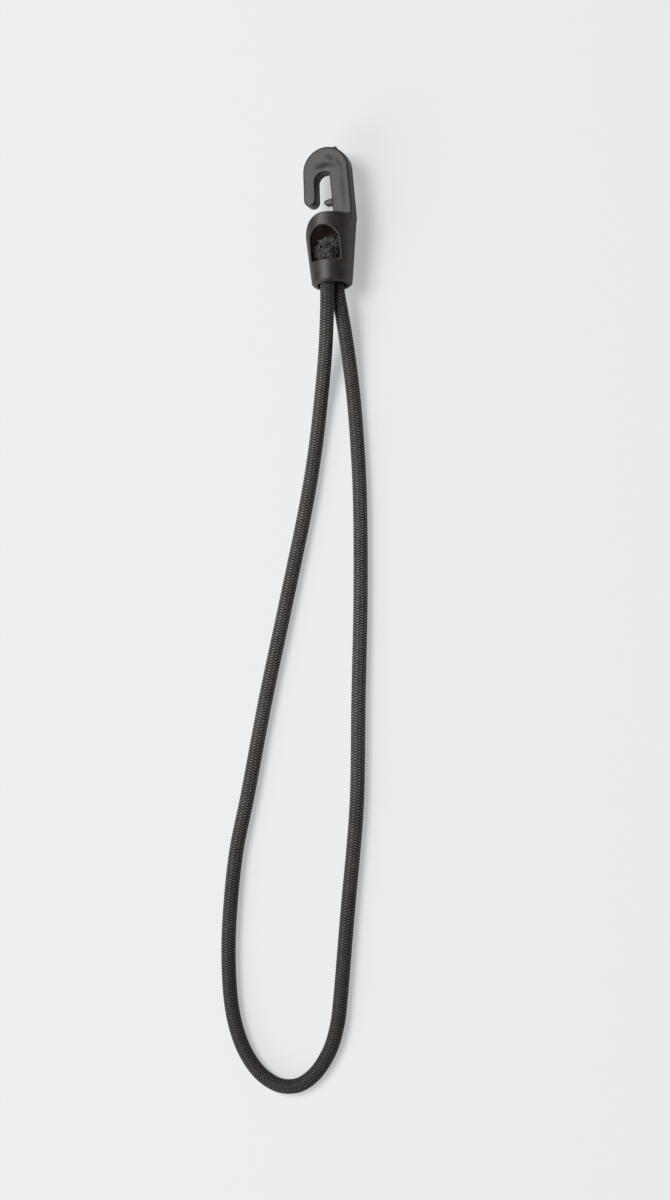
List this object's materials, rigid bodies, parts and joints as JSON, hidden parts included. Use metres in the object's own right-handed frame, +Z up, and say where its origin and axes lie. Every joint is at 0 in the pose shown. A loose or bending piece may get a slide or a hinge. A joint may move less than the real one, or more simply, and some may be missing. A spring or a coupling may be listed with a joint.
{
  "type": "bungee cord",
  "caption": "Elastic cord doubled into a loop, with both ends held in the windowed socket of a moulded J-shaped plastic hook.",
  "frame": {"origin": "on the surface that the loop lies on, under the middle of the hook", "axes": "+Y along the socket from the cord towards the crown of the hook, +Z up and out of the window, +X to the shank side"},
  "size_m": [0.0605, 0.3282, 0.0188],
  "materials": {
    "hook_plastic": "satin moulded black",
    "sheath_yarn": "braided black yarn",
    "core_rubber": "dull"
  },
  "bodies": {
    "cord": {"left_cord_end": "sheath_yarn", "right_cord_end": "sheath_yarn", "left_leg_sheath": "sheath_yarn", "left_leg_strand_1": "core_rubber", "left_leg_strand_2": "core_rubber", "left_leg_strand_3": "core_rubber", "left_leg_strand_4": "core_rubber", "left_leg_strand_5": "core_rubber", "left_leg_strand_6": "core_rubber", "left_leg_strand_7": "core_rubber", "right_leg_sheath": "sheath_yarn", "right_leg_strand_1": "core_rubber", "right_leg_strand_2": "core_rubber", "right_leg_strand_3": "core_rubber", "right_leg_strand_4": "core_rubber", "right_leg_strand_5": "core_rubber", "right_leg_strand_6": "core_rubber", "right_leg_strand_7": "core_rubber"},
    "hook": {"hook": "hook_plastic"},
    "bight": {"bight_sheath": "sheath_yarn", "bight_strand_1": "core_rubber", "bight_strand_2": "core_rubber", "bight_strand_3": "core_rubber", "bight_strand_4": "core_rubber", "bight_strand_5": "core_rubber", "bight_strand_6": "core_rubber", "bight_strand_7": "core_rubber"}
  },
  "joints": [
    {"name": "hook_swivel", "type": "hinge", "parent": "cord", "child": "hook", "pos_m": [0, -0.0253, 0.0094], "axis": [0, 1, 0], "continuous": true},
    {"name": "loop_stretch", "type": "slide", "parent": "cord", "child": "bight", "axis": [0, -1, 0], "range_m": [0, 0.28], "stiffness_N_per_m": 500, "deforming": ["left_leg_sheath", "left_leg_strand_1", "left_leg_strand_2", "left_leg_strand_3", "left_leg_strand_4", "left_leg_strand_5", "left_leg_strand_6", "left_leg_strand_7", "right_leg_sheath", "right_leg_strand_1", "right_leg_strand_2", "right_leg_strand_3", "right_leg_strand_4", "right_leg_strand_5", "right_leg_strand_6", "right_leg_strand_7"]}
  ]
}
